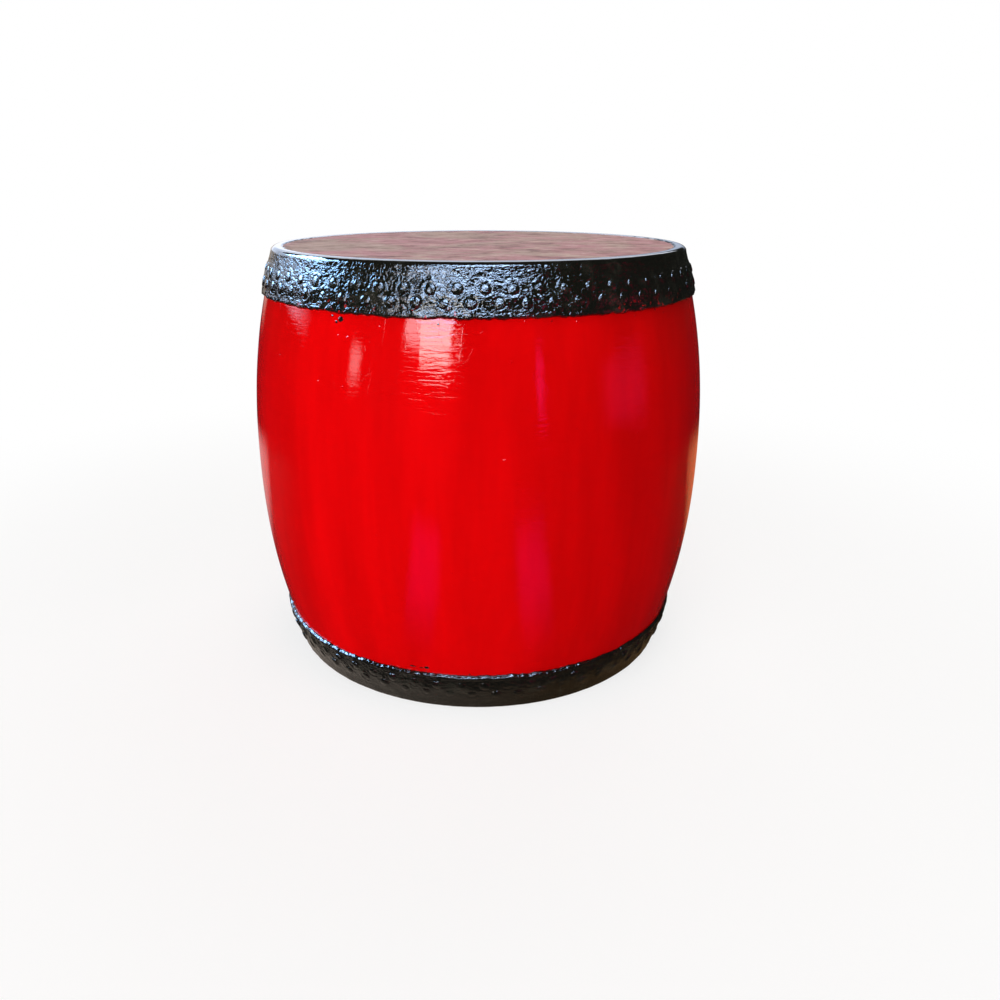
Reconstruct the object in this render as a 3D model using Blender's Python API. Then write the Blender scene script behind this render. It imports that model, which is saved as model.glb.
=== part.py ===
"""Barrel drum: a staved wooden shell with a hide nailed over each end.

The drum stands on its lower hide, with +Z up and the origin at the centre of that face. Fifteen curved
staves are joined edge to edge on bamboo dowels. Each hide folds over the rounded end of the shell, and
two staggered rows of bamboo pegs, driven through its skirt into the staves, hold it tight. A peg is one
solid with its stave, as glue and paint leave it, and passes through its own hole in the hide.
"""

import math

import bmesh
import bpy
from mathutils import Matrix, Vector

# Driving dimensions, in metres.
DRUM_HEIGHT = 0.400  # from one playing face to the other
BELLY_RADIUS = 0.2243  # outside of the wood at mid height
END_RADIUS = 0.1927  # outside of the wood, carried on to the playing faces
BULGE_POWER = 2.25  # 2 gives a round arc, and more a straighter middle

STAVE_COUNT = 15
STAVE_THICKNESS = 0.018  # measured at the seams
STAVE_BANDS = 6  # straight stretches along a stave, between the two skirts
END_EDGE_ROUNDING = 0.002  # radius on the outer edge of the staves' ends, which the hide bends over

HIDE_THICKNESS = 0.0022
ROUNDING_STEPS = 2  # straight stretches round the bend of the hide
RIM_TO_PEGS = 0.020  # from the playing face down to the nearer row of pegs
ROW_SPACING = 0.010  # between the two rows of one skirt
PEGS_TO_HEM = 0.0105  # from the farther row on to the trimmed edge of the skirt
SEAT_BEYOND_HEM = 0.004  # how far the straight seat on the wood runs on past the skirt

PEG_PITCH = 0.0210  # wanted spacing of the pegs in a row
PEG_RADIUS = 0.0044  # to the corners between the flats
PEG_SIDES = 4  # flats left by the knife
PEG_STANDS_OUT = 0.0014  # height of the peg's tip above the hide
PEG_CROWN = 0.0007  # rise of the hammered top from its edge to its tip

DOWEL_WIDTH = 0.005  # square bamboo dowel across the seam of two staves
DOWEL_LENGTH = 0.024
DOWEL_ROW_SPACING = 0.194  # between the upper and the lower dowels

FIT_GAP = 0.0003  # between neighbouring pieces

# Values worked out from those above.
STAVE_ANGLE = math.tau / STAVE_COUNT
PEGS_PER_STAVE = max(1, round(STAVE_ANGLE * END_RADIUS / PEG_PITCH))
COLUMN_COUNT = STAVE_COUNT * PEGS_PER_STAVE  # flats round the drum, one peg of each row in each
COLUMN_ANGLE = math.tau / COLUMN_COUNT
# Heights that belong to one end count up from its playing face, so they are negative.
WOOD_END = -(HIDE_THICKNESS + FIT_GAP)
RIM_ROW_HEIGHT = -RIM_TO_PEGS
HEM_ROW_HEIGHT = RIM_ROW_HEIGHT - ROW_SPACING
HEM_HEIGHT = HEM_ROW_HEIGHT - PEGS_TO_HEM
SEAT_END = HEM_HEIGHT - SEAT_BEYOND_HEM
WELD = 0.000001  # merge distance for points that coincide


def shell_radius(height):
    """Outside of the wood at a height above the lower playing face."""
    from_middle = abs(2 * height / DRUM_HEIGHT - 1)
    return BELLY_RADIUS - (BELLY_RADIUS - END_RADIUS) * from_middle**BULGE_POWER


class EndOutline:
    """Outline of one end in the plane of radius and height, with the playing face at height zero.

    The wood has a straight conical seat for the skirt and a rounded outer edge. The hide follows both at
    a constant distance from the wood, which is the offset that each function takes.
    """

    def __init__(self):
        high = WOOD_END - END_EDGE_ROUNDING
        self.foot = Vector((shell_radius(DRUM_HEIGHT + SEAT_END), SEAT_END))
        top = Vector((shell_radius(DRUM_HEIGHT + high), high))
        along = (top - self.foot).normalized()
        self.normal = Vector((along.y, -along.x))
        self.lean = math.atan2(self.normal.y, self.normal.x)
        self.centre = Vector((self.radius(high, -END_EDGE_ROUNDING), high))

    def radius(self, height, offset):
        """Radius of the seat's line, moved out by the offset, at a height."""
        return self.foot.x + (offset - (height - self.foot.y) * self.normal.y) / self.normal.x

    def bend(self, offset):
        """Points round the bend, from the seat to the flat end."""
        reach = END_EDGE_ROUNDING + offset
        turn = math.pi / 2 - self.lean
        angles = [self.lean + turn * i / ROUNDING_STEPS for i in range(ROUNDING_STEPS + 1)]
        return [self.centre + reach * Vector((math.cos(a), math.sin(a))) for a in angles]

    def hem(self, offset):
        """Point of the hide's trimmed edge, which is cut square to the seat."""
        on_wood = Vector((self.radius(HEM_HEIGHT, 0), HEM_HEIGHT))
        return on_wood + offset * self.normal


END = EndOutline()


# Each end's own frame has its playing face at height zero, with +Z out of the drum.
TO_TOP = Matrix.Translation((0, 0, DRUM_HEIGHT))
TO_BOTTOM = Matrix.Rotation(math.pi, 4, "X")


def turned(radius, angle, height):
    """Point at a radius and an angle round the drum's axis."""
    return Vector((radius * math.cos(angle), radius * math.sin(angle), height))


def mesh_from(bm, name):
    """Closes a bmesh into a mesh with its faces pointing out."""
    bmesh.ops.remove_doubles(bm, verts=bm.verts, dist=WELD)
    bmesh.ops.recalc_face_normals(bm, faces=bm.faces)
    mesh = bpy.data.meshes.new(name)
    bm.to_mesh(mesh)
    bm.free()
    return mesh


def copies(template, matrices, name):
    """One mesh that holds a separate copy of the template at each matrix."""
    bm = bmesh.new()
    for matrix in matrices:
        fresh = template.copy()
        fresh.transform(matrix)
        bm.from_mesh(fresh)
        bpy.data.meshes.remove(fresh)
    return mesh_from(bm, name)


def combine(mesh, operation, other):
    """The mesh after a Boolean with the other mesh."""
    body = bpy.data.objects.new("body", mesh)
    tool = bpy.data.objects.new("tool", other)
    tool.hide_render = True
    tool.display_type = "WIRE"
    for helper in (body, tool):
        bpy.context.collection.objects.link(helper)
    boolean = body.modifiers.new("combine", "BOOLEAN")
    boolean.operation = operation
    boolean.solver = "EXACT"
    boolean.object = tool
    evaluated = body.evaluated_get(bpy.context.evaluated_depsgraph_get())
    result = bpy.data.meshes.new_from_object(evaluated)
    for helper in (body, tool):
        bpy.data.objects.remove(helper)
    return result


# Pegs: whittled bamboo spikes, driven square to the skirt.


def peg_place(row_height, side, column):
    """Matrix of one peg of an end, whose +Z points out of the hide.

    Each flat of the shell takes one peg of each row, a quarter of its width to either side of its middle,
    so that the rows are staggered and no peg meets a seam.
    """
    angle = -STAVE_ANGLE / 2 + COLUMN_ANGLE * (column + 0.5)
    corner_radius = END.radius(row_height, FIT_GAP + HIDE_THICKNESS)
    flat_radius = corner_radius * math.cos(COLUMN_ANGLE / 2)
    sideways = side * corner_radius * math.sin(COLUMN_ANGLE / 2) / 2
    across = Vector((-math.sin(angle), math.cos(angle), 0))
    out = turned(END.normal.x, angle, END.normal.y)
    up = out.cross(across)
    place = turned(flat_radius, angle, row_height) + sideways * across
    return Matrix.Translation(place) @ Matrix((across, up, out)).transposed().to_4x4()


def peg_places(columns):
    """Both rows of pegs, over the given number of flats from the first stave's edge."""
    rim_row = [peg_place(RIM_ROW_HEIGHT, -1, column) for column in range(columns)]
    hem_row = [peg_place(HEM_ROW_HEIGHT, 1, column) for column in range(columns)]
    return rim_row + hem_row


def prism(radius, low, high):
    """A bmesh with the cross-section of a peg, from one height to another above the hide."""
    flats_to_rim = Matrix.Rotation(math.pi / PEG_SIDES, 4, "Z")
    bm = bmesh.new()
    bmesh.ops.create_cone(
        bm, cap_ends=True, segments=PEG_SIDES, radius1=radius, radius2=radius, depth=high - low,
        matrix=Matrix.Translation((0, 0, (low + high) / 2)) @ flats_to_rim,
    )
    return bm


def peg_shape():
    """A peg from inside the wood out to its tip."""
    root = -HIDE_THICKNESS - FIT_GAP - PEG_RADIUS
    bm = prism(PEG_RADIUS, root, PEG_STANDS_OUT - PEG_CROWN)
    top = max(bm.faces, key=lambda face: face.calc_center_median().z)
    bmesh.ops.poke(bm, faces=[top], offset=PEG_CROWN)
    return mesh_from(bm, "peg")


def peg_hole_cutter():
    """The peg grown by the fit gap on its flats, from the wood out past its tip."""
    radius = PEG_RADIUS + FIT_GAP / math.cos(math.pi / PEG_SIDES)
    return mesh_from(prism(radius, -HIDE_THICKNESS - FIT_GAP, PEG_STANDS_OUT), "peg_hole")


# Dowels: square bamboo pins across each seam.


def dowel_place(row, seam):
    """Matrix of one dowel, whose +Z crosses the seam and which lies mid way through the wood.

    The row is 1 for the upper dowels and -1 for the lower ones, and seam 0 is the first stave's far edge.
    """
    angle = STAVE_ANGLE * (seam + 0.5)
    height = DRUM_HEIGHT / 2 + row * DOWEL_ROW_SPACING / 2
    place = turned(shell_radius(height) - STAVE_THICKNESS / 2, angle, height)
    return Matrix.Translation(place) @ Matrix.Rotation(angle, 4, "Z") @ Matrix.Rotation(-math.pi / 2, 4, "X")


def dowel_shape(grown_by):
    """A square pin, grown on every face by the given distance."""
    half_diagonal = (DOWEL_WIDTH / 2 + grown_by) * math.sqrt(2)
    bm = bmesh.new()
    bmesh.ops.create_cone(
        bm, cap_ends=True, segments=4, radius1=half_diagonal, radius2=half_diagonal,
        depth=DOWEL_LENGTH + 2 * grown_by, matrix=Matrix.Rotation(math.pi / 4, 4, "Z"),
    )
    return mesh_from(bm, "dowel")


# Staves: planks curved along their length and bevelled along their edges.


def stave_stations():
    """Heights along a stave, each with the radius of its outside, from the lower end to the upper end."""
    run = (DRUM_HEIGHT + 2 * SEAT_END) / STAVE_BANDS
    middle = [-SEAT_END + run * i for i in range(STAVE_BANDS + 1)]
    upper_end = [(DRUM_HEIGHT + point.y, point.x) for point in END.bend(0)]
    lower_end = [(DRUM_HEIGHT - height, radius) for height, radius in reversed(upper_end)]
    return lower_end + [(height, shell_radius(height)) for height in middle] + upper_end


def stave_section(height, outer_radius):
    """Corners of a stave's cross-section: flats on the outside, one flat face on the inside."""
    inner_radius = shell_radius(height) - STAVE_THICKNESS
    edge_angle = STAVE_ANGLE / 2
    angles = [COLUMN_ANGLE * i - edge_angle for i in range(PEGS_PER_STAVE + 1)]
    outside = [turned(outer_radius, angle, height) for angle in angles]
    inside = [turned(inner_radius, edge_angle, height), turned(inner_radius, -edge_angle, height)]
    corners = outside + inside
    back_from_seam = turned(FIT_GAP / 2, edge_angle + math.pi / 2, 0)
    for corner in (corners[PEGS_PER_STAVE], inside[0]):
        corner -= back_from_seam
    back_from_seam.y = -back_from_seam.y
    for corner in (corners[0], inside[1]):
        corner -= back_from_seam
    return corners


def stave_shape():
    """One stave, lofted through its sections, with its pegs and with sockets for the dowels."""
    bm = bmesh.new()
    loops = []
    for height, outer_radius in stave_stations():
        corners = [bm.verts.new(corner) for corner in stave_section(height, outer_radius)]
        loops.append([bm.edges.new(pair) for pair in zip(corners, corners[1:] + corners[:1])])
    for lower, upper in zip(loops, loops[1:]):
        bmesh.ops.bridge_loops(bm, edges=lower + upper)
    bmesh.ops.contextual_create(bm, geom=loops[0])
    bmesh.ops.contextual_create(bm, geom=loops[-1])
    plank = mesh_from(bm, "plank")
    own_pegs = peg_places(PEGS_PER_STAVE)
    both_ends = [end @ place for end in (TO_TOP, TO_BOTTOM) for place in own_pegs]
    own_dowels = [dowel_place(row, seam) for row in (1, -1) for seam in (0, -1)]
    pegged = combine(plank, "UNION", copies(peg_shape(), both_ends, "pegs"))
    return combine(pegged, "DIFFERENCE", copies(dowel_shape(FIT_GAP), own_dowels, "sockets"))


# Heads: one hide over each end.


def head_shape():
    """A hide with its playing face at height zero, turned from its outline and pierced for the pegs."""
    outer = END.bend(FIT_GAP + HIDE_THICKNESS)
    inner = END.bend(FIT_GAP)
    outline = [
        Vector((0, outer[-1].y)), *reversed(outer), END.hem(FIT_GAP + HIDE_THICKNESS),
        END.hem(FIT_GAP), *inner, Vector((0, inner[-1].y)),
    ]
    bm = bmesh.new()
    verts = [bm.verts.new(turned(point.x, -STAVE_ANGLE / 2, point.y)) for point in outline]
    edges = [bm.edges.new(pair) for pair in zip(verts, verts[1:])]
    bmesh.ops.spin(
        bm, geom=verts + edges, cent=(0, 0, 0), axis=(0, 0, 1), dvec=(0, 0, 0), angle=math.tau,
        steps=COLUMN_COUNT, use_merge=True,
    )
    holes = copies(peg_hole_cutter(), peg_places(COLUMN_COUNT), "peg_holes")
    return combine(mesh_from(bm, "head"), "DIFFERENCE", holes)


# Placing and colouring.


def material(name, colour, roughness):
    made = bpy.data.materials.new(name)
    made.use_nodes = True
    shader = made.node_tree.nodes["Principled BSDF"]
    shader.inputs["Base Color"].default_value = (*colour, 1)
    shader.inputs["Roughness"].default_value = roughness
    shader.inputs["Metallic"].default_value = 0
    return made


def frame(name, parent, local):
    """An empty that carries a group of pieces."""
    empty = bpy.data.objects.new(name, None)
    empty.matrix_local = local
    empty.parent = parent
    bpy.context.collection.objects.link(empty)
    return empty


def piece(name, mesh, finish, parent, local=Matrix.Identity(4)):
    """One piece of the drum as its own object, placed in its parent's frame."""
    made = bpy.data.objects.new(name, mesh)
    made.matrix_local = local
    made.parent = parent
    bpy.context.collection.objects.link(made)
    if not mesh.materials:
        mesh.materials.append(finish)
        mesh.shade_smooth()
        mesh.set_sharp_from_angle(angle=math.radians(25))


for leftover in list(bpy.data.objects):
    bpy.data.objects.remove(leftover)

red_lacquer = material("red_lacquer", (0.62, 0.006, 0.012), 0.18)
raw_hide = material("raw_hide", (0.36, 0.19, 0.16), 0.6)
bamboo = material("bamboo", (0.55, 0.42, 0.22), 0.5)

# The first stave faces the front, which is -Y.
drum = frame("drum", None, Matrix.Rotation(-math.pi / 2, 4, "Z"))
top_end = frame("top_end", drum, TO_TOP)
bottom_end = frame("bottom_end", drum, TO_BOTTOM)

stave = stave_shape()
for number in range(STAVE_COUNT):
    turn = Matrix.Rotation(STAVE_ANGLE * number, 4, "Z")
    piece(f"stave_{number + 1:02d}", stave, red_lacquer, drum, turn)

dowel = dowel_shape(0)
for number in range(STAVE_COUNT):
    piece(f"upper_dowel_{number + 1:02d}", dowel, bamboo, drum, dowel_place(1, number))
    piece(f"lower_dowel_{number + 1:02d}", dowel, bamboo, drum, dowel_place(-1, number))

head = head_shape()
piece("top_head", head, raw_hide, top_end)
piece("bottom_head", head, raw_hide, bottom_end)
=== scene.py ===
"""The finished barrel drum: red lacquer on the staved shell, black paint over the pegged hides."""

import math
import random

import bmesh
import bpy
from mathutils import Matrix, Vector, noise


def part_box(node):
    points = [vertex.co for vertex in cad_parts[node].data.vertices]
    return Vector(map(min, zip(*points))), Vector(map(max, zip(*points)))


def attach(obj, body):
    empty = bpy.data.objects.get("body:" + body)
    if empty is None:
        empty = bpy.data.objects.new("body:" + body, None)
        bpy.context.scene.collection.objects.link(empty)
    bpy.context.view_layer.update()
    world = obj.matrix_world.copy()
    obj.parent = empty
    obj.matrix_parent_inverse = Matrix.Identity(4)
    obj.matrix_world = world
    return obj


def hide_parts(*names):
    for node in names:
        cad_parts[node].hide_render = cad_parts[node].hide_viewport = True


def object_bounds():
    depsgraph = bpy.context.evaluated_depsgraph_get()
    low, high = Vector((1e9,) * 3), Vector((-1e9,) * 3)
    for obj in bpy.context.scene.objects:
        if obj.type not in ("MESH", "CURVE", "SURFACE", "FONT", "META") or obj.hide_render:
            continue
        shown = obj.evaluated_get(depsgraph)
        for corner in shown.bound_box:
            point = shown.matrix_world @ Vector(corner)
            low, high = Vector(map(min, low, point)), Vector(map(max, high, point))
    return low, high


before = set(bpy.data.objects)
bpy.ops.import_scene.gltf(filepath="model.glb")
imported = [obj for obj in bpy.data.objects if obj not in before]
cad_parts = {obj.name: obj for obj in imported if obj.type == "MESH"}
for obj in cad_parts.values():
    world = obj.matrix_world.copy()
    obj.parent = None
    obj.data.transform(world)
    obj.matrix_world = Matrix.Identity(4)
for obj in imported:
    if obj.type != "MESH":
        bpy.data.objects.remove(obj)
cad_low, cad_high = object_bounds()


# Camera
# The photograph looks down on the drum from just above its upper head, close up and square to the front.

PHOTO_SIZE = 1000
PHOTO_FOCAL_LENGTH = 840.6
PHOTO_AXIS_X = 478.3
CAMERA_DISTANCE = 0.8531
CAMERA_HEIGHT = 0.4609
CAMERA_TILT = 0.3687
SENSOR_MM = 36

camera_data = bpy.data.cameras.new("camera")
camera_data.sensor_width = SENSOR_MM
camera_data.lens = SENSOR_MM * PHOTO_FOCAL_LENGTH / PHOTO_SIZE
camera_data.shift_x = 0.5 - PHOTO_AXIS_X / PHOTO_SIZE
camera = bpy.data.objects.new("camera", camera_data)
camera.location = (0, -CAMERA_DISTANCE, CAMERA_HEIGHT)
camera.rotation_euler = (math.pi / 2 - CAMERA_TILT, 0, 0)
bpy.context.collection.objects.link(camera)
bpy.context.scene.camera = camera
bpy.context.scene.view_settings.view_transform = "Standard"


# Studio
# A pale floor that meets a white background. Plain fill lights set the level of every colour. A window to
# the left of the camera, sky-blue lights above and beside it and two crimson cards show in the gloss.


def new_material(name):
    """A node material, with its node tree and its Principled shader."""
    made = bpy.data.materials.new(name)
    made.use_nodes = True
    tree = made.node_tree
    shader = tree.nodes["Principled BSDF"]
    return made, tree, shader


def add(tree, kind, **settings):
    """A shader node of the given kind, with its properties set."""
    node = tree.nodes.new("ShaderNode" + kind)
    for name, value in settings.items():
        setattr(node, name, value)
    return node


def feed(tree, node, name, source):
    """Joins a source socket to a node's input, or sets the input to a plain value."""
    socket = node.inputs[name]
    if isinstance(source, bpy.types.NodeSocket):
        tree.links.new(source, socket)
    else:
        socket.default_value = source


def mapped(tree, scale, turn=(0, 0, 0)):
    """Object coordinates, turned and stretched."""
    coordinates = add(tree, "TexCoord")
    mapping = add(tree, "Mapping")
    feed(tree, mapping, "Vector", coordinates.outputs["Object"])
    feed(tree, mapping, "Scale", scale)
    feed(tree, mapping, "Rotation", turn)
    return mapping.outputs["Vector"]


def spread(tree, source, low, high, to_low=0.0, to_high=1.0):
    """The source stretched from one range to another and held at its ends."""
    node = add(tree, "MapRange", interpolation_type="SMOOTHSTEP")
    feed(tree, node, "Value", source)
    feed(tree, node, "From Min", low)
    feed(tree, node, "From Max", high)
    feed(tree, node, "To Min", to_low)
    feed(tree, node, "To Max", to_high)
    return node.outputs["Result"]


def sums(tree, operation, first, second=0.0, third=0.5):
    """A Math node."""
    node = add(tree, "Math", operation=operation)
    for index, value in enumerate((first, second, third)):
        feed(tree, node, index, value)
    return node.outputs["Value"]


def product(tree, first, *others):
    """The product of two or more values."""
    for other in others:
        first = sums(tree, "MULTIPLY", first, other)
    return first


def between(tree, source, outer_low, inner_low, inner_high, outer_high):
    """1 where the source is in the inner range, fading to 0 at the ends of the outer range."""
    rise = spread(tree, source, outer_low, inner_low)
    fall = spread(tree, source, inner_high, outer_high, 1, 0)
    return product(tree, rise, fall)


def blended(tree, factor, first, second):
    """A mix of two colours."""
    node = add(tree, "Mix", data_type="RGBA", clamp_factor=False)
    feed(tree, node, "Factor", factor)
    for name, value in (("A", first), ("B", second)):
        socket = next(one for one in node.inputs if one.name == name and one.type == "RGBA")
        if isinstance(value, bpy.types.NodeSocket):
            tree.links.new(value, socket)
        else:
            socket.default_value = (*value, 1)
    return next(one for one in node.outputs if one.type == "RGBA")


def mixed(tree, factor, first, second):
    """A mix of two shaders."""
    node = add(tree, "MixShader")
    for index, value in enumerate((factor, first, second)):
        feed(tree, node, index, value)
    return node.outputs[0]


FLOOR_RADIUS = 6.0
FLOOR_SIDES = 96
FLOOR_BOUNCE = (0.80, 0.74, 0.70)
FLOOR_WHITE = (0.95, 0.95, 0.95)
FLOOR_DARK = (0.012, 0.010, 0.012)
GLOW_LEFT = (0.62, 0.40, 0.39)
GLOW_RIGHT = (0.64, 0.22, 0.09)
GLOWS_MEET = (-0.2, 0.2)
GLOW_REACH = (0.75, 1.0)
GLOW_BEHIND = (-0.15, 0.3)
GLOW_OFF_MIDDLE = (0.05, 0.5)
GLOW_ASIDE = (1.4, 2.3)
GLOW_FAR_ASIDE = 0.1
PATCH = (0.50, 0.46, 0.64)
PATCH_REACH = (1.0, 1.15, 1.8, 2.2)
PATCH_TO_LEFT = (-0.15, -0.4)
PATCH_BEHIND = (0.2, 0.5)
PATCH_ASIDE = (0.35, 0.6)
FOOT_LEFT = (0.34, 0.29, 0.25)
FOOT_RIGHT = (0.11, 0.065, 0.030)
FOOT_SIDES_MEET = (-0.15, 0.1)
FOOT_RADIUS = 0.217
FOOT_FADE = 0.025
STREAKS = (1.3, 0.02, 0.26)
STREAKS_ASIDE = (0.23, 0.30, 0.46, 0.54)
STREAKS_BEHIND = (-0.72, -0.52, -0.40, -0.22)
SHADOW_REACH = (0.35, 1.1)
SHADOW_SHARE = 0.22


def mirrored_floor(tree, place, distance):
    """Colour of the floor in the drum's gloss.

    It is dark, with a glow behind the drum on either side, a pale patch beyond that on the left, a dim foot
    round the drum and two crimson streaks ahead of it. Behind counts from the middle of the drum away from
    the camera. Aside is how far a place is to the side over how far it is behind or ahead.
    """
    parts = add(tree, "SeparateXYZ")
    feed(tree, parts, 0, place)
    across = parts.outputs["X"]
    behind = parts.outputs["Y"]
    off_middle = sums(tree, "ABSOLUTE", across)
    aside = sums(tree, "ABSOLUTE", sums(tree, "DIVIDE", across, behind))
    glow = product(
        tree,
        spread(tree, distance, *GLOW_REACH, 1, 0),
        spread(tree, behind, *GLOW_BEHIND),
        spread(tree, off_middle, *GLOW_OFF_MIDDLE),
        spread(tree, aside, *GLOW_ASIDE, 1, GLOW_FAR_ASIDE),
    )
    glow_colour = blended(tree, spread(tree, across, *GLOWS_MEET), GLOW_LEFT, GLOW_RIGHT)
    colour = blended(tree, glow, FLOOR_DARK, glow_colour)
    patch = product(
        tree,
        between(tree, distance, *PATCH_REACH),
        spread(tree, across, *PATCH_TO_LEFT),
        spread(tree, behind, *PATCH_BEHIND),
        spread(tree, aside, *PATCH_ASIDE, 1, 0),
    )
    colour = blended(tree, patch, colour, PATCH)
    foot = spread(tree, distance, FOOT_RADIUS * (1 - FOOT_FADE), FOOT_RADIUS * (1 + FOOT_FADE), 1, 0)
    foot_colour = blended(tree, spread(tree, across, *FOOT_SIDES_MEET), FOOT_LEFT, FOOT_RIGHT)
    colour = blended(tree, foot, colour, foot_colour)
    streaks = product(
        tree,
        between(tree, aside, *STREAKS_ASIDE),
        between(tree, behind, *STREAKS_BEHIND),
    )
    return blended(tree, streaks, colour, STREAKS)


def make_floor():
    """A disc that is white to the camera but for the shadow, and dark in the drum's gloss."""
    bm = bmesh.new()
    bmesh.ops.create_circle(bm, cap_ends=True, segments=FLOOR_SIDES, radius=FLOOR_RADIUS)
    mesh = bpy.data.meshes.new("floor")
    bm.to_mesh(mesh)
    bm.free()
    material, tree, shader = new_material("pale_floor")
    feed(tree, shader, "Base Color", (*FLOOR_BOUNCE, 1))
    feed(tree, shader, "Roughness", 0.9)
    feed(tree, shader, "Specular IOR Level", 0.1)
    place = mapped(tree, (1, 1, 1))
    length = add(tree, "VectorMath", operation="LENGTH")
    feed(tree, length, 0, place)
    distance = length.outputs["Value"]
    mirrored = add(tree, "Emission")
    feed(tree, mirrored, "Color", mirrored_floor(tree, place, distance))
    shaded = add(tree, "BsdfDiffuse")
    feed(tree, shaded, "Color", (*FLOOR_WHITE, 1))
    white = add(tree, "Emission")
    clear = spread(tree, distance, *SHADOW_REACH, 1 - SHADOW_SHARE, 1)
    seen = mixed(tree, clear, shaded.outputs[0], white.outputs[0])
    rays = add(tree, "LightPath")
    output = mixed(tree, rays.outputs["Is Glossy Ray"], shader.outputs[0], mirrored.outputs[0])
    output = mixed(tree, rays.outputs["Is Camera Ray"], output, seen)
    feed(tree, tree.nodes["Material Output"], "Surface", output)
    mesh.materials.append(material)
    floor = bpy.data.objects.new("floor", mesh)
    bpy.context.collection.objects.link(floor)


ROOM = (0.013, 0.014, 0.012)
WALL = (0.79, 0.91, 1.15)
WALL_TURN = -0.55
WALL_SIDES = (0.62, 0.84)
WALL_TOP = (0.14, 0.22)
WALL_TOP_SLOPE = 0.3
WALL_FOOT = (0.02, 0.06)
WALL_FOOT_LEFT = (-0.35, -0.6)
WALL_FOOT_RISE = 0.06
WALL_GLOW_SLOPE = -1.1
BOUNCE_DIMMING = 0.9


def light_studio():
    """White to the camera. Glossy rays meet a dim room with a low pale wall behind the drum.

    The wall turns to the left, where it is brighter, taller and clear of the floor. Its limits are parts of
    a ray's direction, from -1 to 1.
    """
    world = bpy.data.worlds.new("studio")
    bpy.context.scene.world = world
    world.use_nodes = True
    tree = world.node_tree
    background = tree.nodes["Background"]
    rays = add(tree, "LightPath")
    direction = add(tree, "TexCoord")
    parts = add(tree, "SeparateXYZ")
    feed(tree, parts, 0, direction.outputs["Generated"])
    across, back, up = (parts.outputs[axis] for axis in "XYZ")
    turned = sums(tree, "MULTIPLY_ADD", across, WALL_TURN, back)
    leaning = sums(tree, "MULTIPLY_ADD", across, WALL_TOP_SLOPE, up)
    raised_foot = sums(tree, "SUBTRACT", up, spread(tree, across, *WALL_FOOT_LEFT, 0, WALL_FOOT_RISE))
    wall = product(
        tree,
        spread(tree, turned, *WALL_SIDES),
        spread(tree, leaning, *WALL_TOP, 1, 0),
        spread(tree, raised_foot, *WALL_FOOT),
        sums(tree, "MULTIPLY_ADD", across, WALL_GLOW_SLOPE, 1),
    )
    colour = blended(tree, wall, ROOM, WALL)
    white = sums(tree, "SUBTRACT", 1, rays.outputs["Is Glossy Ray"])
    colour = blended(tree, white, colour, (1, 1, 1))
    feed(tree, background, "Color", colour)
    dim = product(tree, rays.outputs["Is Diffuse Ray"], BOUNCE_DIMMING)
    feed(tree, background, "Strength", sums(tree, "SUBTRACT", 1, dim))


LAMP_TARGET = (0, -0.2, 0.35)


def softbox(name, bearing, elevation, distance, width, height, radiance, colour, soft=0.08, use="both"):
    """A rectangular lamp with soft edges that faces the front of the upper skirt.

    Its bearing is counted from the front to the right and its elevation from level, both in degrees.
    Soft is the share of its size over which each edge fades. Its use is to "light" surfaces without
    showing in their gloss, to "mirror" in the gloss alone, or "both".
    """
    data = bpy.data.lights.new(name, "AREA")
    data.shape = "RECTANGLE"
    data.size = width
    data.size_y = height
    data.energy = radiance * math.pi * width * height
    data.color = colour
    data.use_nodes = True
    tree = data.node_tree
    place = add(tree, "TexCoord")
    parts = add(tree, "SeparateXYZ")
    feed(tree, parts, 0, place.outputs["UV"])
    inside = [sums(tree, "PINGPONG", parts.outputs[axis], 0.5) for axis in "XY"]
    fades = [spread(tree, one, 0, soft) for one in inside]
    feed(tree, tree.nodes["Emission"], "Strength", product(tree, *fades))
    lamp = bpy.data.objects.new(name, data)
    lamp.visible_glossy = use != "light"
    lamp.visible_diffuse = use != "mirror"
    turn = math.radians(bearing)
    rise = math.radians(elevation)
    away = Vector((math.sin(turn) * math.cos(rise), -math.cos(turn) * math.cos(rise), math.sin(rise)))
    lamp.location = Vector(LAMP_TARGET) + distance * away
    lamp.rotation_euler = (-away).to_track_quat("-Z", "Y").to_euler()
    bpy.context.collection.objects.link(lamp)


WARM = (1, 0.97, 0.93)

make_floor()
light_studio()
softbox("front_fill", -36, 8, 2.2, 2.0, 1.4, 4.7, WARM, use="light")
softbox("top_fill", 0, 78, 2.2, 1.2, 1.2, 4.4, WARM, use="light")
softbox("right_fill", 75, 30, 2.0, 1.4, 1.0, 1.2, WARM, use="light")
softbox("back_fill", 165, 25, 2.4, 2.0, 1.4, 3.4, WARM, use="light")
softbox("window", -22.5, 14.8, 1.7, 0.60, 0.36, 9, WARM)
softbox("window_top", -23.5, 27.2, 1.7, 0.70, 0.40, 15, (0.50, 0.68, 1), use="mirror")
softbox("window_side", -36.5, 17.8, 1.7, 0.33, 0.42, 5.5, (1, 0.9, 0.93), 0.3, "mirror")
softbox("window_edge", -9.7, 15, 1.7, 0.05, 0.14, 6, WARM, 0.1, "mirror")
softbox("side_window", -64, 5, 1.7, 0.24, 0.34, 3, (1, 0.8, 0.8), 0.4, "mirror")
softbox("front_sky", 5, 48.5, 1.8, 1.15, 0.50, 25, (0.48, 0.67, 1), 0.05, "mirror")
softbox("high_sky", 0, 58, 2.0, 1.6, 0.25, 20, (0.5, 0.7, 1), 0.1, "mirror")
softbox("left_sky", -114, 30, 1.9, 1.5, 0.7, 30, (0.33, 0.60, 1), 0.1, "mirror")
softbox("left_glow", -118, 18.5, 1.9, 0.8, 0.24, 4, (0.37, 0.62, 1), 0.2, "mirror")
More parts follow.
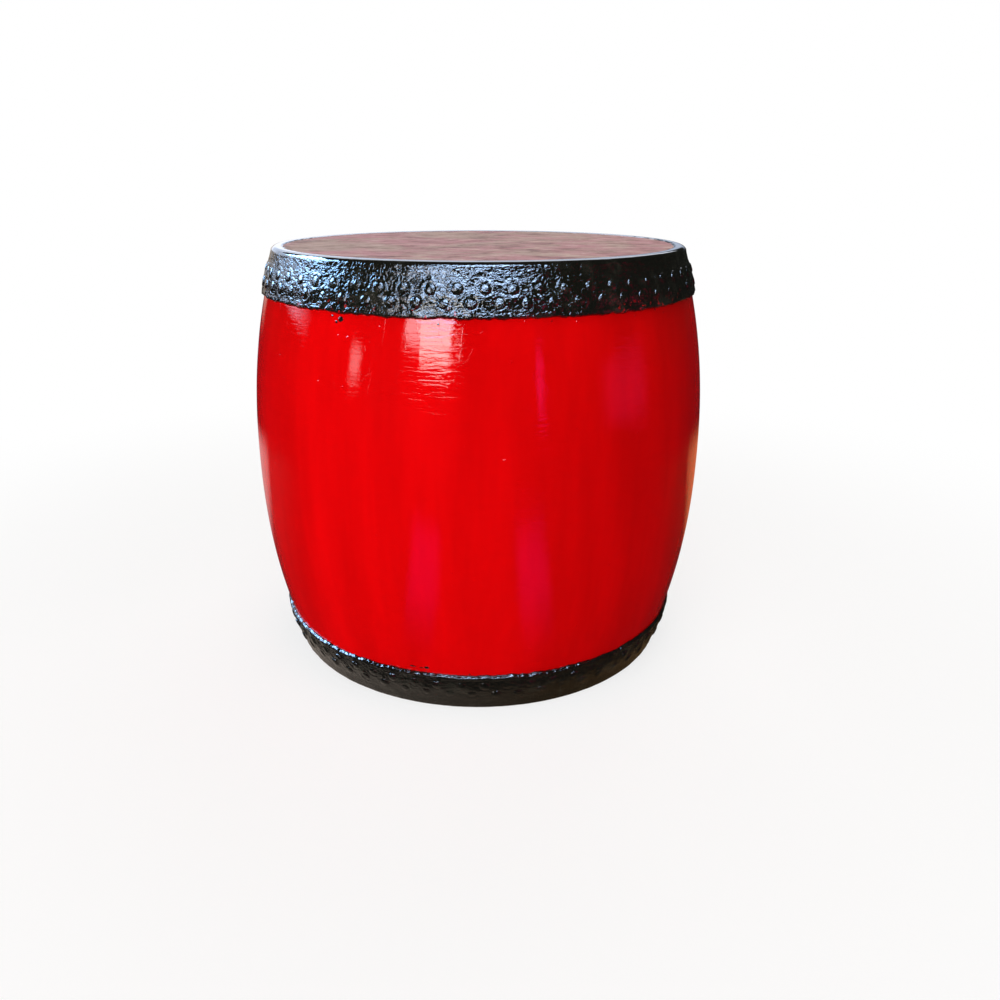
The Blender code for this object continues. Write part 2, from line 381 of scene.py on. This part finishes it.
softbox("left_wall", -156, 1, 2.0, 1.1, 0.56, 0.55, (1, 0.84, 0.70), 0.3, "mirror")
softbox("back_sky", 180, 35, 2.2, 2.4, 1.6, 2.7, (0.82, 0.87, 1), 0.1, "mirror")
softbox("near_card", 32, 3.5, 1.8, 0.22, 0.74, 2.6, (1, 0.02, 0.22), 0.35, "mirror")
softbox("far_card", 77, -2, 1.8, 1.1, 0.6, 1.3, (1, 0.02, 0.13), 0.3, "mirror")


# Staves
# Fifteen planks of a light hardwood, cut to a curve and glued edge to edge, with the bamboo pegs that
# hold the hides driven into their ends. Lacquer and paint cover them outside.

# A noise is given by its scale, detail, roughness and distortion. Most of it falls in the noise range.
NOISE_RANGE = (0.3, 0.7)
WOOD_NOISE = (90, 6, 0.6)
WOOD_FIBRES = 0.0004
STAVE_DARK = (0.30, 0.17, 0.07)
STAVE_LIGHT = (0.55, 0.36, 0.17)
STAVE_GRAIN = 18
BAMBOO_DARK = (0.45, 0.33, 0.14)
BAMBOO_LIGHT = (0.66, 0.53, 0.28)
BAMBOO_GRAIN = 40

staves = [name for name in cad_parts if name.startswith("stave_")]
dowels = [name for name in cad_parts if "_dowel_" in name]


def cloud(tree, vector, scale, detail, roughness=0.5, distortion=0.0):
    """Fractal noise from 0 to 1."""
    node = add(tree, "TexNoise")
    feed(tree, node, "Vector", vector)
    feed(tree, node, "Scale", scale)
    feed(tree, node, "Detail", detail)
    feed(tree, node, "Roughness", roughness)
    feed(tree, node, "Distortion", distortion)
    return node.outputs["Fac"]


def raised(tree, height, distance, below=None):
    """A Bump node whose height is in units of the distance, over the bumps below it."""
    node = add(tree, "Bump")
    feed(tree, node, "Height", height)
    feed(tree, node, "Distance", distance)
    if below:
        feed(tree, node, "Normal", below)
    return node.outputs["Normal"]


def bare_wood(name, dark, light, grain):
    """Straight-grained wood, with its fibres along the drum's axis."""
    material, tree, shader = new_material(name)
    fibres = cloud(tree, mapped(tree, (1, 1, 1 / grain)), *WOOD_NOISE)
    feed(tree, shader, "Base Color", blended(tree, spread(tree, fibres, *NOISE_RANGE), dark, light))
    feed(tree, shader, "Roughness", 0.7)
    feed(tree, shader, "Normal", raised(tree, fibres, WOOD_FIBRES))
    return material


stave_wood = bare_wood("stave_wood", STAVE_DARK, STAVE_LIGHT, STAVE_GRAIN)
bamboo = bare_wood("bamboo", BAMBOO_DARK, BAMBOO_LIGHT, BAMBOO_GRAIN)
for names, material in ((staves, stave_wood), (dowels, bamboo)):
    for name in names:
        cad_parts[name].data.materials.clear()
        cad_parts[name].data.materials.append(material)


# Red lacquer
# Several brushed coats of red gloss lacquer run unbroken over all the staves, from one skirt to the
# other. The planed flat of each stave and the marks of the plane still show through in its reflections.

STAVE_COUNT = len(staves)
STAVE_ANGLE = math.tau / STAVE_COUNT
FLATS_PER_STAVE = 4
BULGE_POWER = 2.25
END_RADIUS = 0.1927
HEM_DEPTH = 0.0405
HEM_OVER_LACQUER = 0.003
LACQUER = 0.00045
BURIED = 0.0006
PLANED_FLAT = 0.0003
PLANE_MARKS = 0.00012
PLANE_MARK_SCALE = 7
PLANE_MARK_SQUASH = 1.6
LACQUER_DEEP = (0.60, 0.0004, 0.0012)
LACQUER_BRIGHT = (0.76, 0.0006, 0.0018)
GLOSS_ROUGHNESS = 0.025
GLOSS_IOR = 1.6
# Noise for the soft vertical bands of painted shade and reflection in the red.
SHADE_BANDS_NOISE = (20, 4, 0.55)
BRUSH_MARKS = 0.00022
BRUSH_NOISE = (55, 3, 0.5, 0.7)
BRUSHED_NOISE = (14, 2)
BRUSHED_PATCHES = (0.40, 0.62, 0.25, 1)
HAIR_LINES = 0.00002
HAIR_NOISE = (45, 3, 0.5, 0.6)
HAIR_WIDTH = 0.012
NIBS = 0.00025
NIB_NOISE = (210, 1)
NIB_RANGE = (0.77, 0.83)
ORANGE_PEEL = 0.00006
PEEL_NOISE = (150, 2, 0.4)
LACQUER_BANDS = 32
BANDS_PER_INNER_BAND = 4
LACQUER_STEPS = 144
SKIN_CUTS = 3
MERGE_DISTANCE = 1e-6

drum_height = cad_high.z
belly_radius = -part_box("stave_01")[0].y


def shell_radius(height):
    """Outside of the wood at a height above the floor."""
    from_middle = abs(2 * height / drum_height - 1)
    return belly_radius - (belly_radius - END_RADIUS) * from_middle**BULGE_POWER


def finished(bm, name, material):
    """An object with the bmesh as its smooth mesh, riding on the drum."""
    bmesh.ops.recalc_face_normals(bm, faces=bm.faces)
    mesh = bpy.data.meshes.new(name)
    bm.to_mesh(mesh)
    bm.free()
    mesh.shade_smooth()
    mesh.materials.append(material)
    made = bpy.data.objects.new(name, mesh)
    bpy.context.collection.objects.link(made)
    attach(made, "root")
    return made


def spun(bm, verts, edges, steps):
    """Spins an outline once round the Z axis and joins its ends."""
    bmesh.ops.spin(
        bm,
        geom=verts + edges,
        cent=(0, 0, 0),
        axis=(0, 0, 1),
        dvec=(0, 0, 0),
        angle=math.tau,
        steps=steps,
        use_merge=True,
    )
    bmesh.ops.remove_doubles(bm, verts=bm.verts, dist=MERGE_DISTANCE)


def turned_skin(outline, steps, settle, closed=True):
    """A bmesh of a skin turned round the drum's axis, made fine and then shaped.

    The outline is a list of marks (along, share): a length along the skin, and 0 on its inner side or 1
    on its outer side. Settle turns an angle from the front and a point's marks into radius and height.
    """
    bm = bmesh.new()
    marks = [bm.verts.layers.float.new(name) for name in ("along", "share")]
    verts = []
    for point in outline:
        radius, height = settle(0, *point)
        vert = bm.verts.new((0, -radius, height))
        for mark, value in zip(marks, point):
            vert[mark] = value
        verts.append(vert)
    ends = verts[1:] + verts[:1] if closed else verts[1:]
    edges = [bm.edges.new(pair) for pair in zip(verts, ends)]
    spun(bm, verts, edges, steps)
    bmesh.ops.subdivide_edges(bm, edges=bm.edges, cuts=SKIN_CUTS, use_grid_fill=True)
    for vert in bm.verts:
        angle = math.atan2(vert.co.x, -vert.co.y)
        radius, height = settle(angle, *[vert[mark] for mark in marks])
        vert.co = (radius * math.sin(angle), -radius * math.cos(angle), height)
    return bm


def lacquer_surface(angle, height, share):
    """The coat over the crowned flats of the staves, waved by the marks of the plane."""
    across = (angle / STAVE_ANGLE + 0.5) % 1 * 2 - 1
    place = Vector((math.sin(angle), math.cos(angle), height * PLANE_MARK_SQUASH))
    marks = noise.fractal(place * PLANE_MARK_SCALE, 1.0, 2.0, 3) * PLANE_MARKS
    over_wood = LACQUER - PLANED_FLAT * (1 - across**2) + marks
    return shell_radius(height) - BURIED + (BURIED + over_wood) * share, height


def red_lacquer():
    """Matt red under a clear gloss coat, with soft vertical bands of painted shade, brush marks, hair
    lines, nibs of dust and orange peel.
    """
    material, tree, shader = new_material("red_lacquer")
    plain = mapped(tree, (1, 1, 1))
    # Soft vertical bands of deeper and brighter red are painted shade and reflection. They stand in for how
    # each planed stave flat catches the light.
    painted_shade_bands = spread(tree, cloud(tree, mapped(tree, (1, 1, 0.12)), *SHADE_BANDS_NOISE), *NOISE_RANGE)
    feed(tree, shader, "Base Color", blended(tree, painted_shade_bands, LACQUER_DEEP, LACQUER_BRIGHT))
    feed(tree, shader, "Roughness", 0.5)
    feed(tree, shader, "Specular IOR Level", 0.0)
    feed(tree, shader, "Coat Weight", 1.0)
    feed(tree, shader, "Coat Roughness", GLOSS_ROUGHNESS)
    feed(tree, shader, "Coat IOR", GLOSS_IOR)
    brush = cloud(tree, mapped(tree, (1, 1, 7)), *BRUSH_NOISE)
    patches = spread(tree, cloud(tree, plain, *BRUSHED_NOISE), *BRUSHED_PATCHES)
    surface = raised(tree, product(tree, brush, patches), BRUSH_MARKS)
    strokes = cloud(tree, mapped(tree, (1, 1, 0.3)), *HAIR_NOISE)
    contour = sums(tree, "ABSOLUTE", sums(tree, "SUBTRACT", strokes, 0.5))
    surface = raised(tree, spread(tree, contour, 0, HAIR_WIDTH, 1, 0), HAIR_LINES, surface)
    nibs = spread(tree, cloud(tree, plain, *NIB_NOISE), *NIB_RANGE)
    surface = raised(tree, nibs, NIBS, surface)
    surface = raised(tree, cloud(tree, plain, *PEEL_NOISE), ORANGE_PEEL, surface)
    feed(tree, shader, "Normal", surface)
    feed(tree, shader, "Coat Normal", surface)
    return material


def lacquer_coat():
    """The coat as a closed skin, whose inner side is sunk in the wood."""
    low = HEM_DEPTH - HEM_OVER_LACQUER
    run = (drum_height - 2 * low) / LACQUER_BANDS
    heights = [low + run * band for band in range(LACQUER_BANDS + 1)]
    inner = heights[::BANDS_PER_INNER_BAND]
    outline = [(height, 1) for height in heights] + [(height, 0) for height in reversed(inner)]
    coat = finished(turned_skin(outline, LACQUER_STEPS, lacquer_surface), "red_lacquer", red_lacquer())


lacquer_coat()


# Hides
# A buffalo hide is stretched wet over each end, bent down over the rounded rim of the staves and trimmed
# below the pegs. Its playing face is left bare, with the fibres and stains of the raw skin.

HIDE_GAP = 0.0003
HIDE_THICKNESS = 0.0022
RIM_BEND = 0.002
SEAT_BEYOND_HEM = 0.004
HIDE_TRIM = 0.0022
PAINT = 0.0005
FACE_WAVES = 0.0003
FACE_WAVES_SCALE = 28
FACE_WAVES_FROM_RIM = 0.02
HIDE_PINK = (0.46, 0.195, 0.195)
HIDE_TAN = (0.43, 0.275, 0.212)
HIDE_DARK = (0.12, 0.055, 0.040)
HIDE_PALE = (0.60, 0.42, 0.31)
HIDE_TURN = (0, 0, 0.2)
STAIN_NOISE = (10, 8, 0.68, 0.5)
STAIN_RANGE = (0.42, 0.58)
FIBRE_NOISE = (34, 9, 0.76, 0.15)
DARK_FIBRES = (0.32, 0.54, 0.85, 0)
PALE_FIBRES = (0.54, 0.68, 0, 0.85)
FIBRE_RELIEF = 0.0008
GRAIN_NOISE = (420, 3, 0.6)
GRAIN_RELIEF = 0.00015
HIDE_STEPS = 96
FACE_RINGS = 14
SKIRT_RINGS = 12

wood_end = HIDE_GAP + HIDE_THICKNESS
seat_foot = Vector((shell_radius(HEM_DEPTH + SEAT_BEYOND_HEM), -HEM_DEPTH - SEAT_BEYOND_HEM))
seat_top = Vector((shell_radius(wood_end + RIM_BEND), -wood_end - RIM_BEND))
down_seat = (seat_foot - seat_top).normalized()
out_of_seat = Vector((-down_seat.y, down_seat.x))
seat_lean = math.atan2(out_of_seat.y, out_of_seat.x)
bend_centre = seat_top - RIM_BEND * out_of_seat
bend_turn = math.pi / 2 - seat_lean
bend_length = (RIM_BEND + wood_end) * bend_turn


def over_wood(along, offset):
    """Point over the wood of one end and the direction out of it, both as radius and height.

    The height is counted from the playing face, up and out of the drum. Along is a length on the hide's
    outer side: zero where the flat face ends, more down the skirt and less towards the middle.
    """
    if along <= 0:
        out = Vector((0, 1))
        return Vector((bend_centre.x + along, offset - wood_end)), out
    if along < bend_length:
        angle = math.pi / 2 - bend_turn * along / bend_length
        out = Vector((math.cos(angle), math.sin(angle)))
        centre = Vector((bend_centre.x, -wood_end - RIM_BEND))
        return centre + (RIM_BEND + offset) * out, out
    return seat_top + down_seat * (along - bend_length) + offset * out_of_seat, out_of_seat


def along_at(depth):
    """Length down the hide at which its outer side reaches a depth below the playing face."""
    return bend_length + (-depth - seat_top.y - wood_end * out_of_seat.y) / down_seat.y


face_radius = bend_centre.x
hem_along = along_at(HEM_DEPTH)
hide_along = hem_along - HIDE_TRIM
UPPER = Matrix.Translation((0, 0, drum_height))
LOWER = Matrix.Rotation(math.pi, 4, "Y")


def hide_surface(seed):
    def settle(angle, along, share):
        """Slow waves over the face. The cut edge of the skirt stays under the black paint."""
        offset = HIDE_GAP + (wood_end - PAINT - HIDE_GAP) * share
        radius, height = over_wood(along, offset)[0]
        if along < 0:
            inside = min(1, -along / FACE_WAVES_FROM_RIM)
            place = Vector((math.sin(angle) * radius, math.cos(angle) * radius, seed))
            height -= inside * FACE_WAVES * (1 + noise.noise(place * FACE_WAVES_SCALE))
        return radius, height

    return settle


def bare_hide():
    """Raw skin, pink and tan, with dark and pale fibres."""
    material, tree, shader = new_material("bare_hide")
    stains = cloud(tree, mapped(tree, (1, 1.1, 1), HIDE_TURN), *STAIN_NOISE)
    skin = blended(tree, spread(tree, stains, *STAIN_RANGE), HIDE_PINK, HIDE_TAN)
    fibres = cloud(tree, mapped(tree, (1, 1.5, 1), HIDE_TURN), *FIBRE_NOISE)
    skin = blended(tree, spread(tree, fibres, *DARK_FIBRES), skin, HIDE_DARK)
    skin = blended(tree, spread(tree, fibres, *PALE_FIBRES), skin, HIDE_PALE)
    feed(tree, shader, "Base Color", skin)
    feed(tree, shader, "Roughness", spread(tree, fibres, *NOISE_RANGE, 0.66, 0.5))
    feed(tree, shader, "Specular IOR Level", 0.08)
    grain = cloud(tree, mapped(tree, (1, 1, 1)), *GRAIN_NOISE)
    surface = raised(tree, grain, GRAIN_RELIEF, raised(tree, fibres, FIBRE_RELIEF))
    feed(tree, shader, "Normal", surface)
    return material


def hide(name, node, place, seed, material):
    """One hide, as a sheet with its own thickness from the middle of its face to the hem."""
    face = [-face_radius * (1 - ring / FACE_RINGS) for ring in range(FACE_RINGS)]
    skirt = [hide_along * ring / SKIRT_RINGS for ring in range(SKIRT_RINGS + 1)]
    along = face + skirt
    outline = [(one, 1) for one in along] + [(one, 0) for one in reversed(along)]
    bm = turned_skin(outline, HIDE_STEPS, hide_surface(seed), closed=False)
    bmesh.ops.transform(bm, matrix=place, verts=bm.verts)
    made = finished(bm, name, material)
    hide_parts(node)


hide_skin = bare_hide()
hide("upper_hide", "top_head", UPPER, 1, hide_skin)
hide("lower_hide", "bottom_head", LOWER, 2, hide_skin)


# Pegs
# Whittled bamboo pegs hold each skirt in two staggered rows. Their hammered ends stand out as low round
# knobs under the thick black paint, no two quite alike.

MM = 0.001
RIM_ROW_DEPTH = 0.020
HEM_ROW_DEPTH = 0.030
PEG_ANGLE = STAVE_ANGLE / FLATS_PER_STAVE
PEG_COUNT = STAVE_COUNT * FLATS_PER_STAVE
PEG_STAGGER = 0.25
KNOB_OUTLINE = ((5.4, -0.8), (5.3, 0.4), (4.7, 1.1), (4.1, 1.5), (0, 1.8))
KNOB_SIDES = 12
KNOB_TILT = (-0.09, 0.09)
KNOB_SIZE = (0.94, 1.05)
KNOB_LIFT = (-0.7, 0.3)
KNOB_DENTS = 0.00015
KNOB_DENTS_SCALE = 260
SWELL = 0.0008
SWELL_WIDTH = 0.011
NOISE_SEED = 1

# Vector noise, which dents the knobs and the paint, starts from the clock unless it is given a seed.
noise.seed_set(NOISE_SEED)

PEG_ROWS = ((along_at(RIM_ROW_DEPTH), PEG_STAGGER), (along_at(HEM_ROW_DEPTH), -PEG_STAGGER))
pegged_along = along_at((RIM_ROW_DEPTH + HEM_ROW_DEPTH) / 2)


def bump(distance, width):
    """A smooth bump of height 1."""
    return math.exp(-((distance / width) ** 2))


def swell(along):
    """How far the skirt stands out where it is bunched between the rows of pegs."""
    return SWELL * bump(along - pegged_along, SWELL_WIDTH)


def knob_shape():
    """A hammered peg end, spun from its outline, with +Z out of the hide."""
    bm = bmesh.new()
    verts = [bm.verts.new((radius * MM, 0, height * MM)) for radius, height in KNOB_OUTLINE]
    edges = [bm.edges.new(pair) for pair in zip(verts, verts[1:])]
    spun(bm, verts, edges, KNOB_SIDES)
    bmesh.ops.contextual_create(bm, geom=[edge for edge in bm.edges if edge.is_boundary])
    mesh = bpy.data.meshes.new("knob")
    bm.to_mesh(mesh)
    bm.free()
    return mesh


def on_end(along, angle, offset):
    """Matrix of a place over the wood of one end, with +Z out of it and +X round the drum."""
    (radius, height), out = over_wood(along, offset)
    across = Vector((math.cos(angle), math.sin(angle), 0))
    outward = Vector((out.x * math.sin(angle), -out.x * math.cos(angle), out.y))
    turn = Matrix((across, outward.cross(across), outward)).transposed().to_4x4()
    return Matrix.Translation((radius * math.sin(angle), -radius * math.cos(angle), height)) @ turn


def knobs(name, place, seed, material):
    """The knobs of both rows at one end, each with its own tilt, size and lift."""
    chance = random.Random(seed)
    template = knob_shape()
    bm = bmesh.new()
    for along, side in PEG_ROWS:
        out = wood_end + swell(along)
        for number in range(PEG_COUNT):
            askew = Matrix.Rotation(chance.uniform(*KNOB_TILT), 4, "X")
            askew @= Matrix.Rotation(chance.uniform(*KNOB_TILT), 4, "Y")
            shape = Matrix.Diagonal((chance.uniform(*KNOB_SIZE), chance.uniform(*KNOB_SIZE), 1, 1))
            lift = Matrix.Translation((0, 0, chance.uniform(*KNOB_LIFT) * MM))
            mesh = template.copy()
            mesh.transform(place @ on_end(along, (number + side) * PEG_ANGLE, out) @ lift @ askew @ shape)
            bm.from_mesh(mesh)
            bpy.data.meshes.remove(mesh)
    for vert in bm.verts:
        vert.co += noise.noise_vector(vert.co * KNOB_DENTS_SCALE) * KNOB_DENTS
    made = finished(bm, name, material)


# Black paint
# Thick black gloss paint was brushed over the pegged skirts. It laps onto the playing face, gathers round
# every peg, sags below it and ends in an uneven bead over the hem.

LAP = 0.007
LAP_WANDER = 0.0012
LAP_WANDER_SCALE = 14
LAP_SINK = 1.3
TOE = 0.0009
TOE_END = 0.0001
HEM_WANDER = 0.0009
HEM_WANDER_SCALE = 12
HEM_NIBS = 0.0009
HEM_NIBS_SCALE = 38
HEM_NIBS_POWER = 8
THICKNESS = 0.0005
THINNEST = 0.00005
LUMPS = 0.00028
LUMPS_SCALE = 95
WRINKLES = 0.0002
WRINKLES_SCALE = 210
WRINKLES_TWIST_SCALE = 120
WRINKLES_PATCH_SCALE = 45
KNOB_RADIUS = 0.0052
COLLAR = 0.00045
COLLAR_FROM_KNOB = 0.001
COLLAR_WIDTH = 0.0014
SAG = 0.0005
SAG_BELOW_PEG = 0.0085
SAG_WIDTH = 0.003
BEAD = 0.00025
BEAD_ABOVE_HEM = 0.0015
BEAD_WIDTH = 0.002
PAINT_STEPS = 320
LAP_RINGS = 3
BAND_RINGS = 12
TOE_RINGS = 2
INNER_MARK = 0.4


def paint_relief(angle, along, seed):
    """Height of the paint's lumps, wrinkles, collars, sags, swell over the pegs and hem bead."""
    radius = over_wood(max(along, 0), wood_end)[0].x
    place = Vector((radius * math.sin(angle), radius * math.cos(angle), seed - along))
    relief = THICKNESS + LUMPS * noise.fractal(place * LUMPS_SCALE, 0.9, 2.1, 3)
    twist = noise.noise_vector(place * WRINKLES_TWIST_SCALE)
    folds = noise.turbulence(place * WRINKLES_SCALE + twist, 2, False)
    relief += WRINKLES * (0.4 - folds) * (0.6 + noise.noise(place * WRINKLES_PATCH_SCALE))
    for row, side in PEG_ROWS:
        number = round(angle / PEG_ANGLE - side)
        across = (angle - (number + side) * PEG_ANGLE) * radius
        down = along - row
        own = 0.75 + 0.5 * noise.noise(Vector((number * 1.7, row * 900, seed)))
        from_knob = math.hypot(across, down) - KNOB_RADIUS
        relief += own * COLLAR * bump(from_knob - COLLAR_FROM_KNOB, COLLAR_WIDTH)
        relief += own * SAG * bump(across, SAG_WIDTH) * bump(down - SAG_BELOW_PEG, SAG_WIDTH)
    relief += swell(along)
    relief += BEAD * bump(along - hem_along + BEAD_ABOVE_HEM, BEAD_WIDTH)
    return max(relief, THINNEST)


def paint_surface(seed):
    def settle(angle, along, share):
        """The paint over the hide. Both its edges wander, and its toe thins out onto the lacquer."""
        turned = Vector((math.sin(angle), math.cos(angle), seed))
        on_face = max(0, -along / LAP)
        on_skirt = max(0, along / hem_along)
        past = min(1, max(0, (along - hem_along) / TOE))
        along += on_face * LAP_WANDER * noise.fractal(turned * LAP_WANDER_SCALE, 0.8, 2.0, 3)
        along += on_skirt * HEM_WANDER * noise.fractal(turned * HEM_WANDER_SCALE, 0.8, 2.0, 3)
        along += on_skirt**HEM_NIBS_POWER * HEM_NIBS * noise.noise(turned * HEM_NIBS_SCALE)
        if along > 0:
            growth = min(1, along / bend_length)
            offset = wood_end + growth**2 * paint_relief(angle, along, seed)
            offset = TOE_END + (offset - TOE_END) * (1 - past) ** 0.5
        else:
            offset = wood_end - PAINT * LAP_SINK * max(0, on_face * 3 - 2)
        inner = 0 if past else (HIDE_GAP + wood_end) / 2
        radius, height = over_wood(along, inner + (offset - inner) * share)[0]
        return radius, min(height, 0)

    return settle


PAINT_BLACK = (0.0045, 0.0046, 0.0036)
PAINT_DUSTY = (0.030, 0.031, 0.024)
PAINT_IOR = 1.7
DUST_NOISE = (60, 5, 0.65)
DUST_RANGE = (0.5, 0.75, 0, 0.5)
SHEEN_NOISE = (40, 3, 0.6)
SHEEN_RANGE = (0.4, 0.7, 0.03, 0.09)
RED_FLECKS = (0.5, 0.004, 0.008)
FLECK_NOISE = (260, 3, 0.6)
FLECK_RANGE = (0.60, 0.64)
FLECKED_NOISE = (14, 2, 0.5)
FLECKED_RANGE = (0.46, 0.56)
FLECKS_ABOVE_HEM = 0.012
UPPER_HALF = (0.4, 0.6)
SKIRT_FROM_FACE = (0.004, 0.0012)
PAINT_WRINKLES = 0.0002
WRINKLE_NOISE = (200, 2, 0.45, 1.2)
PAINT_WORMS = 0.00009
WORM_NOISE = (130, 1, 0.5, 0.8)
WORM_WIDTH = 0.06


def black_paint():
    """Black gloss, dusty in places and wrinkled on the skirts, with red flecks by the upper hem."""
    material, tree, shader = new_material("black_paint")
    place = mapped(tree, (1, 1, 1))
    parts = add(tree, "SeparateXYZ")
    feed(tree, parts, 0, place)
    height = parts.outputs["Z"]
    half = drum_height / 2
    from_middle = sums(tree, "ABSOLUTE", sums(tree, "SUBTRACT", height, half))
    hem = half - HEM_DEPTH
    red = product(
        tree,
        spread(tree, from_middle, hem, hem + FLECKS_ABOVE_HEM, 1, 0),
        spread(tree, cloud(tree, place, *FLECK_NOISE), *FLECK_RANGE),
        spread(tree, cloud(tree, place, *FLECKED_NOISE), *FLECKED_RANGE),
        spread(tree, height, *[drum_height * share for share in UPPER_HALF]),
    )
    dust = spread(tree, cloud(tree, place, *DUST_NOISE), *DUST_RANGE)
    black = blended(tree, dust, PAINT_BLACK, PAINT_DUSTY)
    feed(tree, shader, "Base Color", blended(tree, red, black, RED_FLECKS))
    feed(tree, shader, "Roughness", spread(tree, cloud(tree, place, *SHEEN_NOISE), *SHEEN_RANGE))
    feed(tree, shader, "IOR", PAINT_IOR)
    on_skirt = spread(tree, from_middle, *[half - depth for depth in SKIRT_FROM_FACE], 1, 0)
    wrinkles = spread(tree, cloud(tree, mapped(tree, (1, 1, 1.8)), *WRINKLE_NOISE), *NOISE_RANGE)
    surface = raised(tree, product(tree, wrinkles, on_skirt), PAINT_WRINKLES)
    curls = sums(tree, "SUBTRACT", cloud(tree, place, *WORM_NOISE), 0.5)
    worms = spread(tree, sums(tree, "ABSOLUTE", curls), 0, WORM_WIDTH, 1, 0)
    surface = raised(tree, product(tree, worms, on_skirt), PAINT_WORMS, surface)
    feed(tree, shader, "Normal", surface)
    return material


def painted_skirt(name, place, seed, material):
    """One ring of paint, from its edge on the playing face to its toe on the lacquer."""
    lap = [-LAP * (1 - ring / LAP_RINGS) for ring in range(LAP_RINGS)]
    band = [hem_along * ring / BAND_RINGS for ring in range(BAND_RINGS + 1)]
    toe = [hem_along + TOE * (ring + 1) / TOE_RINGS for ring in range(TOE_RINGS)]
    outline = [(one, 1) for one in lap + band + toe] + [(hem_along * INNER_MARK, 0)]
    bm = turned_skin(outline, PAINT_STEPS, paint_surface(seed))
    bmesh.ops.transform(bm, matrix=place, verts=bm.verts)
    made = finished(bm, name, material)


# A drop is given by its bearing in degrees, its depth from the playing face, its width and its height.
# The bearings are counted to the right on the upper end and to the left on the lower, which is turned over.
UPPER_DROPS = (
    (-32, 0.0455, 0.0050, 0.0042),
    (-33.1, 0.0478, 0.0024, 0.0022),
    (-34.5, 0.0435, 0.0020, 0.0022),
)
LOWER_DROPS = (
    (16.5, 0.0470, 0.0060, 0.0014),
    (14.2, 0.0463, 0.0045, 0.0012),
    (12.9, 0.0474, 0.0045, 0.0030),
)
SMALL_DROPS = 10
SMALL_DROP_SIZE = (0.7, 1.8)
SMALL_DROP_PAST_HEM = (1.5, 6)
DROP_RISE = 0.15
DROP_DENTS = 0.0002
DROP_DENTS_SCALE = 700


def drops(name, place, seed, known, material):
    """Low domes of paint on the lacquer past the hem: those in the photograph and some small ones."""
    chance = random.Random(seed)
    spots = list(known)
    for _ in range(SMALL_DROPS):
        across = chance.uniform(*SMALL_DROP_SIZE) * MM
        bearing = chance.uniform(-180, 180)
        depth = HEM_DEPTH + chance.uniform(*SMALL_DROP_PAST_HEM) * MM
        spots.append((bearing, depth, across, across))
    bm = bmesh.new()
    for bearing, depth, across, along in spots:
        dome = on_end(along_at(depth), math.radians(bearing), LACQUER)
        flat = Matrix.Diagonal((across, along, DROP_RISE * min(across, along), 1))
        bmesh.ops.create_icosphere(bm, subdivisions=3, radius=0.5, matrix=place @ dome @ flat)
    for vert in bm.verts:
        vert.co += noise.noise_vector(vert.co * DROP_DENTS_SCALE) * DROP_DENTS
    made = finished(bm, name, material)


gloss_black = black_paint()
for end, place, seed, known in (("upper", UPPER, 3, UPPER_DROPS), ("lower", LOWER, 4, LOWER_DROPS)):
    knobs(f"{end}_pegs", place, seed, gloss_black)
    painted_skirt(f"{end}_black_paint", place, seed, gloss_black)
    drops(f"{end}_paint_drops", place, seed, known, gloss_black)
